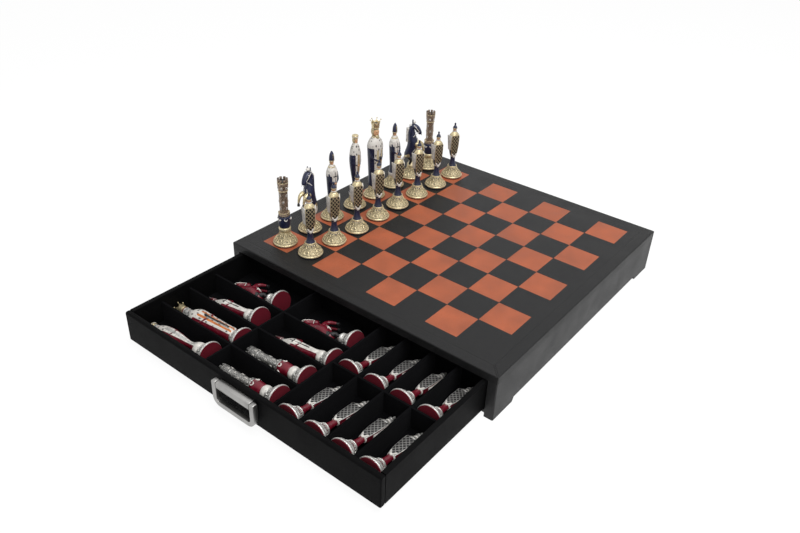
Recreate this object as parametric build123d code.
from build123d import *
from math import atan2, cos, degrees, radians, sin
import os

# Playing board
square = 35.0
squares_per_side = 8
border = 22.0
inlay_depth = 0.8
inlay_seam = 0.2

# Box
top_thickness = 8.0
wall_thickness = 9.0
bottom_thickness = 3.0
centre_rail_width = 14.0
foot_height = 4.5
foot_length = 34.0
foot_slant = 2.0
rolled_edge = 1.2

# Drawers and the play round them
drawer_head_room = 1.2
drawer_play_side = 1.0
drawer_play_above = 1.0
drawer_play_below = 0.5
drawer_play_back = 1.0
drawer_hold = 16.5
drawer_front_thickness = 5.5
drawer_side_thickness = 5.0
drawer_back_thickness = 5.0
drawer_bottom_thickness = 3.0
drawer_front_round = 2.0
drawer_rim_round = 1.0
lining_thickness = 0.8

# Compartments, counted from the drawer's left side and from its front: the play round the men that lie in them
king_cell_play = 2.0
rook_cell_play = 2.5
rank_cell_play = 4.0
pawn_cell_play = 1.95
pawn_file_play = 0.625
divider_thickness = 2.0
divider_height = 21.5
ranks_per_drawer = 4
pawn_files = 4
pawn_rows = 2

# Handle
bracket_length = 40.0
bracket_height = 7.0
bracket_depth = 6.5
bracket_chamfer = 1.5
bracket_below_rim = 4.5
bail_drop = 25.0
bail_bar = 4.5
bail_depth = 5.4
bail_outer_round = 8.0
bail_inner_round = 3.5
bail_top_round = 2.0
bail_play = 0.5
pivot_offset = 4.0
pin_radius = 1.0
pin_seat = 5.0
pin_play = 0.05
screw_radius = 1.5
screw_seat = 4.0
screw_head_radius = 3.0
screw_head_height = 1.6
screw_play = 0.1
screw_spacing = 20.0

# Chessmen
base_diameter = 26.0
base_height = 13.2
felt_thickness = 0.8
felt_inset = 0.8
king_height = 94.0
queen_height = 86.0
bishop_height = 79.0
knight_height = 73.5
rook_height = 73.5
pawn_height = 68.8
crown_points = 5
crown_slot = 2.2
crown_slot_depth = 3.2
crown_wall = 2.2
turret_slots = 4
turret_slot = 2.6
turret_slot_depth = 2.6
turret_wall = 1.6
limb_flats = 10
lying_play = 0.3
cell_end_play = 0.3

# The bell-shaped base of every man: height over the base's height, radius over the base's radius
base_shares = [(0.0, 0.97), (0.12, 1.0), (0.20, 0.96), (0.36, 0.76), (0.58, 0.55), (0.80, 0.44), (0.97, 0.40)]

# Sections of each figure: height over its height above the base, half width and half depth over the base's
# radius
king_shares = [
    (0.0, 0.42, 0.42), (0.015, 0.54, 0.46), (0.174, 0.52, 0.44), (0.41, 0.68, 0.50), (0.599, 0.78, 0.54),
    (0.669, 0.73, 0.51), (0.711, 0.46, 0.40), (0.752, 0.31, 0.31), (0.811, 0.31, 0.31), (0.87, 0.30, 0.30),
    (0.882, 0.34, 0.34), (0.947, 0.38, 0.38), (1.0, 0.50, 0.50),
]
queen_shares = [
    (0.0, 0.40, 0.40), (0.027, 0.52, 0.50), (0.099, 0.46, 0.42), (0.195, 0.24, 0.23), (0.303, 0.31, 0.28),
    (0.495, 0.50, 0.40), (0.627, 0.57, 0.43), (0.735, 0.48, 0.38), (0.832, 0.38, 0.31), (0.862, 0.24, 0.24),
    (0.88, 0.26, 0.26), (0.934, 0.30, 0.30), (0.958, 0.25, 0.25), (1.0, 0.29, 0.29),
]
bishop_shares = [
    (0.0, 0.40, 0.40), (0.028, 0.44, 0.42), (0.144, 0.36, 0.34), (0.365, 0.44, 0.38), (0.572, 0.51, 0.42),
    (0.658, 0.48, 0.38), (0.713, 0.32, 0.28), (0.737, 0.20, 0.20), (0.817, 0.20, 0.20), (0.835, 0.23, 0.22),
    (0.902, 0.23, 0.20), (0.963, 0.16, 0.14), (1.0, 0.05, 0.05),
]
rook_shares = [
    (0.0, 0.40, 0.40), (0.024, 0.48, 0.48), (0.073, 0.49, 0.49), (0.086, 0.42, 0.42), (0.204, 0.50, 0.50),
    (0.291, 0.51, 0.51), (0.322, 0.45, 0.45), (0.347, 0.46, 0.46), (0.366, 0.33, 0.33), (0.627, 0.34, 0.34),
    (0.776, 0.35, 0.35), (0.851, 0.40, 0.40), (0.913, 0.42, 0.42), (1.0, 0.42, 0.42),
]
pawn_shares = [
    (0.0, 0.36, 0.36), (0.021, 0.34, 0.34), (0.078, 0.22, 0.20), (0.181, 0.19, 0.18), (0.309, 0.30, 0.25),
    (0.488, 0.48, 0.33), (0.642, 0.56, 0.35), (0.731, 0.54, 0.35), (0.795, 0.30, 0.27), (0.814, 0.17, 0.17),
    (0.853, 0.20, 0.20), (0.904, 0.18, 0.18), (0.936, 0.09, 0.09), (0.968, 0.10, 0.10), (1.0, 0.06, 0.06),
]
pedestal_shares = [(0.0, 0.40, 0.40), (0.024, 0.52, 0.46), (0.073, 0.42, 0.38), (0.111, 0.20, 0.18)]

# The horse, section by section: forward and sideways over the base's radius, height over the height above the
# base, half thickness and half width over the base's radius, and the way the limb points there, in degrees
# above level
trunk_shares = [
    (-0.58, 0.0, 0.13, 0.26, 0.26), (-0.44, 0.0, 0.204, 0.45, 0.38), (-0.19, 0.0, 0.341, 0.44, 0.36),
    (0.055, 0.0, 0.49, 0.48, 0.38), (0.066, 0.0, 0.614, 0.40, 0.30), (-0.022, 0.0, 0.751, 0.33, 0.24),
    (0.022, 0.0, 0.876, 0.26, 0.20), (0.12, 0.0, 0.944, 0.16, 0.13),
]
trunk_slopes = [60, 65, 70, 76, 92, 94, 80, 62]
head_shares = [
    (-0.03, 0.0, 0.932, 0.24, 0.20), (0.275, 0.0, 0.882, 0.23, 0.19),
    (0.54, 0.0, 0.823, 0.17, 0.15), (0.69, 0.0, 0.786, 0.12, 0.12),
]
head_slopes = [-38, -42, -47, -50]
mane_shares = [
    (-0.41, 0.0, 0.577, 0.12, 0.12), (-0.385, 0.0, 0.702, 0.15, 0.13), (-0.32, 0.0, 0.838, 0.15, 0.13),
    (-0.11, 0.0, 0.950, 0.12, 0.11), (0.08, 0.0, 0.975, 0.08, 0.08),
]
mane_slopes = [100, 92, 80, 45, 10]
foreleg_shares = [
    (0.22, 0.22, 0.503, 0.22, 0.19), (0.605, 0.25, 0.534, 0.16, 0.15), (0.91, 0.25, 0.49, 0.12, 0.12),
    (1.02, 0.25, 0.403, 0.09, 0.09), (1.07, 0.25, 0.347, 0.13, 0.12),
]
foreleg_slopes = [0, -5, -60, -80, -80]
hindleg_shares = [
    (-0.275, 0.23, 0.229, 0.28, 0.20), (-0.01, 0.265, 0.142, 0.17, 0.15),
    (-0.165, 0.265, 0.08, 0.12, 0.12), (-0.08, 0.265, 0.011, 0.13, 0.13),
]
hindleg_slopes = [-60, -85, -100, -80]
tail_shares = [
    (-0.715, 0.0, 0.217, 0.10, 0.10), (-0.92, 0.0, 0.142, 0.13, 0.12),
    (-0.88, 0.0, 0.049, 0.12, 0.11), (-0.715, 0.0, 0.0, 0.06, 0.06),
]
tail_slopes = [-140, -100, -75, -45]

# The army on the board: men of the back rank from the front edge, how far each stands off its square's middle
# over the square, and how far its front is turned from the other army, in degrees
back_rank = ["rook", "knight", "bishop", "queen", "king", "bishop", "knight", "rook"]
rank_offset_shares = [
    (0.04, -0.10), (0.02, -0.04), (0.0, -0.02), (0.03, 0.02),
    (0.02, 0.0), (0.0, 0.03), (0.03, 0.0), (0.0, 0.02),
]
pawn_offset_shares = [
    (0.02, -0.05), (0.06, -0.08), (0.10, -0.10), (0.05, -0.04),
    (0.03, -0.02), (0.05, 0.0), (0.08, 0.02), (0.04, 0.03),
]
rank_turns = [0, -84, -6, -4, -4, -8, 38, 0]
pawn_turns = [-32, -30, -30, -28, -28, -28, -26, -30]

# The army in the drawer, from its front, and the share of a compartment's spare length on its felt's side
king_file_men = ["queen", "king", "bishop", "knight"]
rook_file_men = ["rook", "rook", "bishop", "knight"]
king_file_room_shares = [0.57, 0.20, 0.65, 0.71]
rook_file_room_shares = [0.375, 0.375, 0.20, 0.50]

# Compartments, sized by the men that they hold
man_heights = {
    "king": king_height, "queen": queen_height, "bishop": bishop_height,
    "knight": knight_height, "rook": rook_height, "pawn": pawn_height,
}
king_cell_length = max(man_heights[kind] for kind in king_file_men) + king_cell_play
rook_cell_length = max(man_heights[kind] for kind in rook_file_men) + rook_cell_play
rank_cell_width = base_diameter + rank_cell_play
pawn_cell_length = pawn_height + pawn_cell_play
pawn_cell_width = base_diameter + pawn_file_play
pawn_width = pawn_files * (pawn_cell_width + divider_thickness)
store_width = king_cell_length + rook_cell_length + divider_thickness + pawn_width
rank_depth = ranks_per_drawer * (rank_cell_width + divider_thickness)
pawn_depth = pawn_rows * (pawn_cell_length + divider_thickness)
store_depth = max(rank_depth, pawn_depth) - divider_thickness

# The box, square, with room for the board and its border and for a drawer on each side of the centre rail
board_side = squares_per_side * square
board_half = board_side / 2 + border
store_half = store_width / 2 + drawer_side_thickness + drawer_play_side + wall_thickness
drawer_boards = drawer_front_thickness + drawer_back_thickness
bay_half = store_depth + drawer_boards + drawer_play_back + centre_rail_width / 2
half_side = max(board_half, store_half, bay_half)

# Other sizes worked out from those above. Heights are taken from the playing surface.
drawer_height = drawer_bottom_thickness + lining_thickness + base_diameter + drawer_head_room
inside_half = half_side - wall_thickness
drawer_top = -top_thickness - drawer_play_above
drawer_under = drawer_top - drawer_height
bottom_top = drawer_under - drawer_play_below
bottom_under = bottom_top - bottom_thickness
table_level = bottom_under - foot_height
drawer_half_width = inside_half - drawer_play_side
drawer_inner_half = drawer_half_width - drawer_side_thickness
drawer_depth = half_side - centre_rail_width / 2 - drawer_play_back
drawer_open = drawer_depth - drawer_hold
lining_under = drawer_under + drawer_bottom_thickness
lining_top = lining_under + lining_thickness
front_face = -half_side
front_inside = front_face + drawer_front_thickness
back_inside = front_face + drawer_depth - drawer_back_thickness
bracket_top = drawer_top - bracket_below_rim
pivot_height = bracket_top - bracket_height / 2
pivot_depth = front_face - pivot_offset
bail_half = bracket_length / 2 + bail_play + bail_bar
base_radius = base_diameter / 2
base_top = felt_thickness + base_height
rim_share = base_shares[1][0]
origin_height = bottom_under
figure_shares = {
    "king": king_shares, "queen": queen_shares, "bishop": bishop_shares,
    "knight": pedestal_shares, "rook": rook_shares, "pawn": pawn_shares,
}


def block(low, high):
    """A box between two opposite corners."""
    size = [b - a for a, b in zip(low, high)]
    return Pos(*low) * Box(*size, align=(Align.MIN, Align.MIN, Align.MIN))


# Box

def light_squares():
    """Thin tiles let into the top, one for each light square, with a fine dark seam round each."""
    tiles = []
    for i in range(squares_per_side):
        for j in range(squares_per_side):
            if (i + j) % 2 == 0:
                x, y = (-board_side / 2 + k * square for k in (i, j))
                low = (x + inlay_seam, y + inlay_seam, -inlay_depth)
                high = (x + square - inlay_seam, y + square - inlay_seam, 0)
                tiles.append(block(low, high))
    return tiles


def top_panel():
    """The playing surface with its border, rolled at the edges, and a pocket for each tile."""
    panel = block((-half_side, -half_side, -top_thickness), (half_side, half_side, 0))
    panel = fillet(panel.edges().filter_by(Axis.Z), rolled_edge)
    panel = fillet(panel.faces().sort_by(Axis.Z)[-1].edges(), rolled_edge)
    return panel - light_squares()


def side_wall(side):
    """A wall under the top panel, on the left (-1) or on the right (1)."""
    low_x, high_x = sorted((side * inside_half, side * half_side))
    wall = block((low_x, -half_side, bottom_under), (high_x, half_side, -top_thickness))
    corners = wall.edges().filter_by(Axis.Z).sort_by(Axis.X, reverse=side > 0)[:2]
    return fillet(corners, rolled_edge)


def bottom_panel():
    """The floor of the box, between the walls."""
    return block((-inside_half, -half_side, bottom_under), (inside_half, half_side, bottom_top))


def centre_rail():
    """The rail across the middle, which carries the board and stops both drawers."""
    half = centre_rail_width / 2
    return block((-inside_half, -half, bottom_top), (inside_half, half, -top_thickness))


def corner_feet():
    """A foot under each end of each wall, slanted at its inner end."""
    end = foot_length - foot_slant
    outline = Polyline((0, 0), (end, 0), (foot_length, foot_height), (0, foot_height), close=True)
    foot = extrude(Plane.YZ * make_face(outline), wall_thickness)
    foot = fillet(foot.edges().filter_by(Axis.Z).sort_by_distance((0, 0, 0))[0], rolled_edge)
    foot = Pos(-half_side, -half_side, table_level) * foot
    left = [foot, mirror(foot, Plane.XZ)]
    return left + [mirror(each, Plane.YZ) for each in left]


# Drawer, closed at the front of the box

def screw_tool(play):
    """A countersunk screw along -Y with its head's top at the origin, or the hole for one."""
    length = drawer_front_thickness + screw_seat + play
    shank = Cylinder(screw_radius + play, length, align=(Align.CENTER, Align.CENTER, Align.MIN))
    head = Cone(
        screw_head_radius + play, screw_radius + play, screw_head_height,
        align=(Align.CENTER, Align.CENTER, Align.MIN),
    )
    return Rot(90, 0, 0) * (shank + head)


def on_screws(tool):
    """A screw, or its hole, at each of the handle's two screws."""
    return [Pos(side * screw_spacing / 2, front_inside, pivot_height) * tool for side in (-1, 1)]


def drawer_front():
    """The front board, rolled at its top, with the handle's screw holes."""
    low = (-drawer_half_width, front_face, drawer_under)
    board = block(low, (drawer_half_width, front_inside, drawer_top))
    board = fillet(board.faces().sort_by(Axis.Z)[-1].edges().filter_by(Axis.X), drawer_front_round)
    board = fillet(board.edges().filter_by(Axis.Z).sort_by(Axis.Y)[:2], rolled_edge)
    return board - on_screws(screw_tool(screw_play))


def drawer_sides():
    """The two side boards behind the front."""
    boards = []
    for side in (-1, 1):
        low_x, high_x = sorted((side * drawer_inner_half, side * drawer_half_width))
        board = block((low_x, front_inside, drawer_under), (high_x, front_face + drawer_depth, drawer_top))
        rim = board.faces().sort_by(Axis.Z)[-1].edges().filter_by(Axis.Y)
        boards.append(fillet(rim, drawer_rim_round))
    return boards


def drawer_back():
    """The back board, between the sides."""
    low = (-drawer_inner_half, back_inside, drawer_under)
    board = block(low, (drawer_inner_half, front_face + drawer_depth, drawer_top))
    return fillet(board.faces().sort_by(Axis.Z)[-1].edges().filter_by(Axis.X), drawer_rim_round)


def drawer_sheet(under, top):
    """A sheet that fills the drawer between its four boards."""
    return block((-drawer_inner_half, front_inside, under), (drawer_inner_half, back_inside, top))


def file_edges():
    """Left and right of each file of compartments: the king's, the rooks' and the pawns'."""
    king_right = -drawer_inner_half + king_cell_length
    rook_left = king_right + divider_thickness
    rook_right = rook_left + rook_cell_length
    first = rook_right + divider_thickness
    pawn_pitch = (drawer_inner_half - first + divider_thickness) / pawn_files
    edges = [(-drawer_inner_half, king_right), (rook_left, rook_right)]
    for k in range(pawn_files):
        edges.append((first + k * pawn_pitch, first + (k + 1) * pawn_pitch - divider_thickness))
    return edges


def rank_starts():
    """Front of each officer's compartment, from the drawer's front."""
    return [front_inside + k * (rank_cell_width + divider_thickness) for k in range(ranks_per_drawer)]


def pawn_starts():
    """Front of each row of pawns' compartments."""
    return [front_inside + k * (pawn_cell_length + divider_thickness) for k in range(pawn_rows)]


def dividers():
    """Upright strips: one on the right of each file but the last, and short ones across each file."""
    files = file_edges()
    top = lining_top + divider_height
    strips = []
    for _, right in files[:-1]:
        strips.append(block((right, front_inside, lining_top), (right + divider_thickness, back_inside, top)))
    for k, (left, right) in enumerate(files):
        starts = rank_starts() if k < 2 else pawn_starts()
        for start in starts[1:]:
            strips.append(block((left, start - divider_thickness, lining_top), (right, start, top)))
    return strips


# Handle

def handle_bracket():
    """The fixed bar on the drawer's front, with a hole at each end and two at its back."""
    half = bracket_length / 2
    low = (-half, front_face - bracket_depth, bracket_top - bracket_height)
    bar = block(low, (half, front_face, bracket_top))
    bar = chamfer(bar.faces().sort_by(Axis.Y)[0].edges().filter_by(Axis.X), bracket_chamfer)
    return bar - on_screws(screw_tool(screw_play)) - pins(pin_play)


def pins(play):
    """The pins that the bail turns on, or the holes for them."""
    length = bail_bar + bail_play + pin_seat + play
    turn = Rot(0, 90, 0) * Cylinder(pin_radius + play, length, align=(Align.CENTER, Align.CENTER, Align.MIN))
    left = Pos(-bail_half, pivot_depth, pivot_height) * turn
    return [left, mirror(left, Plane.YZ)]


def handle_bail():
    """The swinging loop: two legs and a lower bar with rounded corners."""
    low, bottom = bracket_top - bail_drop, bracket_top - bail_drop + bail_bar
    near, far = pivot_depth - bail_depth / 2, pivot_depth + bail_depth / 2
    loop = block((-bail_half, near, low), (bail_half, far, bracket_top))
    loop = fillet(loop.edges().filter_by(Axis.Y).sort_by(Axis.Z)[:2], bail_outer_round)
    window = block((bail_bar - bail_half, near, bottom), (bail_half - bail_bar, far, bracket_top + bail_bar))
    window = fillet(window.edges().filter_by(Axis.Y).sort_by(Axis.Z)[:2], bail_inner_round)
    loop = loop - window
    tops = loop.faces().filter_by(Plane.XY).sort_by(Axis.Z)[-2:]
    loop = fillet([e for face in tops for e in face.edges().filter_by(Axis.X)], bail_top_round)
    return loop - pins(pin_play)


# Chessmen, standing at the origin with their fronts towards +X

def level(share, kind):
    """Height of a share of the figure above its base."""
    return base_top + share * (man_heights[kind] - base_top)


def upright_section(height, half_width, half_depth):
    """A level ellipse round a man's axis, wider across than from front to back."""
    return Plane(origin=(0, 0, height), x_dir=(0, 1, 0), z_dir=(0, 0, 1)) * Ellipse(half_width, half_depth)


def limb_section(place, slope, half_thickness, half_width):
    """An oval of flats square to the way that a limb points."""
    run, rise = cos(radians(slope)), sin(radians(slope))
    turns = [radians((k + 1 / 2) * 360 / limb_flats) for k in range(limb_flats)]
    corners = [(half_thickness * cos(turn), half_width * sin(turn)) for turn in turns]
    return Plane(origin=place, x_dir=(-rise, 0, run), z_dir=(run, 0, rise)) * Polygon(*corners, align=None)


def turned_sections(kind):
    """The base's circles, then the figure's ellipses."""
    sections = []
    for share, radius_share in base_shares:
        radius = radius_share * base_radius
        sections.append(upright_section(felt_thickness + share * base_height, radius, radius))
    for share, width_share, depth_share in figure_shares[kind]:
        half_width, half_depth = width_share * base_radius, depth_share * base_radius
        sections.append(upright_section(level(share, kind), half_width, half_depth))
    return sections


def limb(shares, slopes, side=1):
    """A horse's trunk, head, mane, leg or tail, skinned through its sections."""
    sections = []
    for (forward, out, up, thick, wide), slope in zip(shares, slopes):
        place = (forward * base_radius, side * out * base_radius, level(up, "knight"))
        sections.append(limb_section(place, slope, thick * base_radius, wide * base_radius))
    return loft(sections, ruled=True)


def horse():
    """The rearing horse of a knight."""
    pieces = [limb(head_shares, head_slopes), limb(mane_shares, mane_slopes), limb(tail_shares, tail_slopes)]
    for side in (-1, 1):
        pieces.append(limb(foreleg_shares, foreleg_slopes, side))
        pieces.append(limb(hindleg_shares, hindleg_slopes, side))
    body = limb(trunk_shares, trunk_slopes)
    for piece in pieces:
        body = body + piece
    return body


def slotted_top(figure, kind, count, slot, depth, wall):
    """A crown or a turret: a cup in the top, and slots that leave points or merlons round it."""
    top = man_heights[kind]
    radius = figure_shares[kind][-1][1] * base_radius
    cup = Pos(0, 0, top - depth) * Cylinder(radius - wall, depth, align=(Align.CENTER, Align.CENTER, Align.MIN))
    notch = block((0, -slot / 2, top - depth), (base_radius, slot / 2, top))
    return figure - [cup] - [Rot(0, 0, k * 360 / count) * notch for k in range(count)]


def chessman(kind):
    """A figure on its base, and the felt under it."""
    figure = loft(turned_sections(kind), ruled=True)
    if kind == "king":
        figure = slotted_top(figure, kind, crown_points, crown_slot, crown_slot_depth, crown_wall)
    if kind == "rook":
        figure = slotted_top(figure, kind, turret_slots, turret_slot, turret_slot_depth, turret_wall)
    if kind == "knight":
        figure = figure + horse()
    felt = Cylinder(base_radius - felt_inset, felt_thickness, align=(Align.CENTER, Align.CENTER, Align.MIN))
    return [figure, felt]


def rest_points(kind):
    """Height and reach of the side that a man lies on: the back, or a knight's flank."""
    if kind != "knight":
        return [(level(up, kind), deep * base_radius) for up, _, deep in figure_shares[kind]]
    limbs = trunk_shares + head_shares + mane_shares + foreleg_shares + hindleg_shares
    return [(level(up, kind), (out + wide) * base_radius) for _, out, up, _, wide in limbs]


def lying_turn(kind):
    """How far a lying man's head sinks, in radians, and the height of its base's middle over the lining."""
    rim = felt_thickness + rim_share * base_height
    dip = min(atan2(base_radius - reach, height - rim) for height, reach in rest_points(kind))
    return dip, lying_play + base_radius * cos(dip) + rim * sin(dip)


def lying_place(kind, felt_x, y, heading=0):
    """Where a man lies: felt towards +X, head towards -X, then turned about its felt by a heading in degrees."""
    dip, height = lying_turn(kind)
    roll = 90 if kind == "knight" else 0
    lean = Rot(0, -90 - degrees(dip), 0) * Rot(0, 0, roll)
    place = Pos(felt_x, y, lining_top + height) * Rot(0, 0, heading)
    return place * Pos(-base_radius * sin(dip), 0, 0) * lean


def standing_army():
    """Place of each man on the board, back rank on the left."""
    places = {}
    start = square / 2 - board_side / 2
    ranks = [("pawn", 1, pawn_offset_shares, pawn_turns, ["pawn"] * squares_per_side)]
    ranks.append(("rank", 0, rank_offset_shares, rank_turns, back_rank))
    for label, column, offsets, turns, kinds in ranks:
        for row, (kind, (across, along), turn) in enumerate(zip(kinds, offsets, turns)):
            x = start + (column + across) * square
            y = start + (row + along) * square
            half = "front" if row < squares_per_side / 2 else "back"
            name = f"blue_pawn_{row + 1}" if label == "pawn" else f"blue_{half}_{kind}"
            name = f"blue_{kind}" if kind in ("king", "queen") else name
            places[name] = (kind, Pos(x, y, 0) * Rot(0, 0, turn))
    return places


def stored_army():
    """Place of each man in the open drawer: officers on the left, pawns on the right."""
    places = {}
    files = file_edges()
    stores = [("king_file", files[0], king_file_men, king_file_room_shares)]
    stores.append(("rook_file", files[1], rook_file_men, rook_file_room_shares))
    for label, (left, right), men, shares in stores:
        for rank, (kind, share) in enumerate(zip(men, shares)):
            room = share * (right - left - man_heights[kind])
            y = rank_starts()[rank] + rank_cell_width / 2 - drawer_open
            side = "left" if label == "king_file" else "right"
            name = f"red_{kind}" if kind in ("king", "queen") else f"red_{side}_{kind}"
            if kind == "rook":
                name = f"red_{'front' if rank == 0 else 'back'}_rook"
            places[name] = (kind, lying_place(kind, right - room, y))
    for row, start in enumerate(pawn_starts()):
        for k, (left, right) in enumerate(files[2:]):
            y = start + cell_end_play - drawer_open
            name = f"red_pawn_{row * pawn_files + k + 1}"
            places[name] = ("pawn", Pos((left + right) / 2, y, 0) * Rot(0, 0, -90) * lying_place("pawn", 0, 0))
    return places


# Assembly

def drawer_pieces(label, place):
    """The nodes of one drawer and of its handle."""
    pieces = {
        "front_board": [drawer_front()],
        "side_boards": drawer_sides(),
        "back_board": [drawer_back()],
        "bottom_board": [drawer_sheet(drawer_under, lining_under)],
        "lining": [drawer_sheet(lining_under, lining_top)],
        "dividers": dividers(),
        "handle_bracket": [handle_bracket()],
        "handle_bail": [handle_bail()],
        "handle_pins": pins(0),
        "handle_screws": on_screws(screw_tool(0)),
    }
    return {f"{label}_{name}": [place * solid for solid in solids] for name, solids in pieces.items()}


def all_pieces():
    """Every node's solids."""
    pieces = {
        "top_panel": [top_panel()],
        "light_squares": light_squares(),
        "left_wall": [side_wall(-1)],
        "right_wall": [side_wall(1)],
        "bottom_panel": [bottom_panel()],
        "centre_rail": [centre_rail()],
        "corner_feet": corner_feet(),
    }
    pieces.update(drawer_pieces("front_drawer", Pos(0, -drawer_open, 0)))
    pieces.update(drawer_pieces("back_drawer", Rot(0, 0, 180)))
    men = {kind: chessman(kind) for kind in man_heights}
    for name, (kind, place) in {**standing_army(), **stored_army()}.items():
        pieces[name] = [place * solid for solid in men[kind]]
    return pieces


def main():
    """Writes one file for each node, with the origin in the middle of the box's underside."""
    os.makedirs("parts", exist_ok=True)
    to_frame = Pos(0, 0, -origin_height)
    for name, solids in all_pieces().items():
        export_step(Compound(children=[to_frame * solid for solid in solids]), f"parts/{name}.step")


if __name__ == "__main__":
    main()
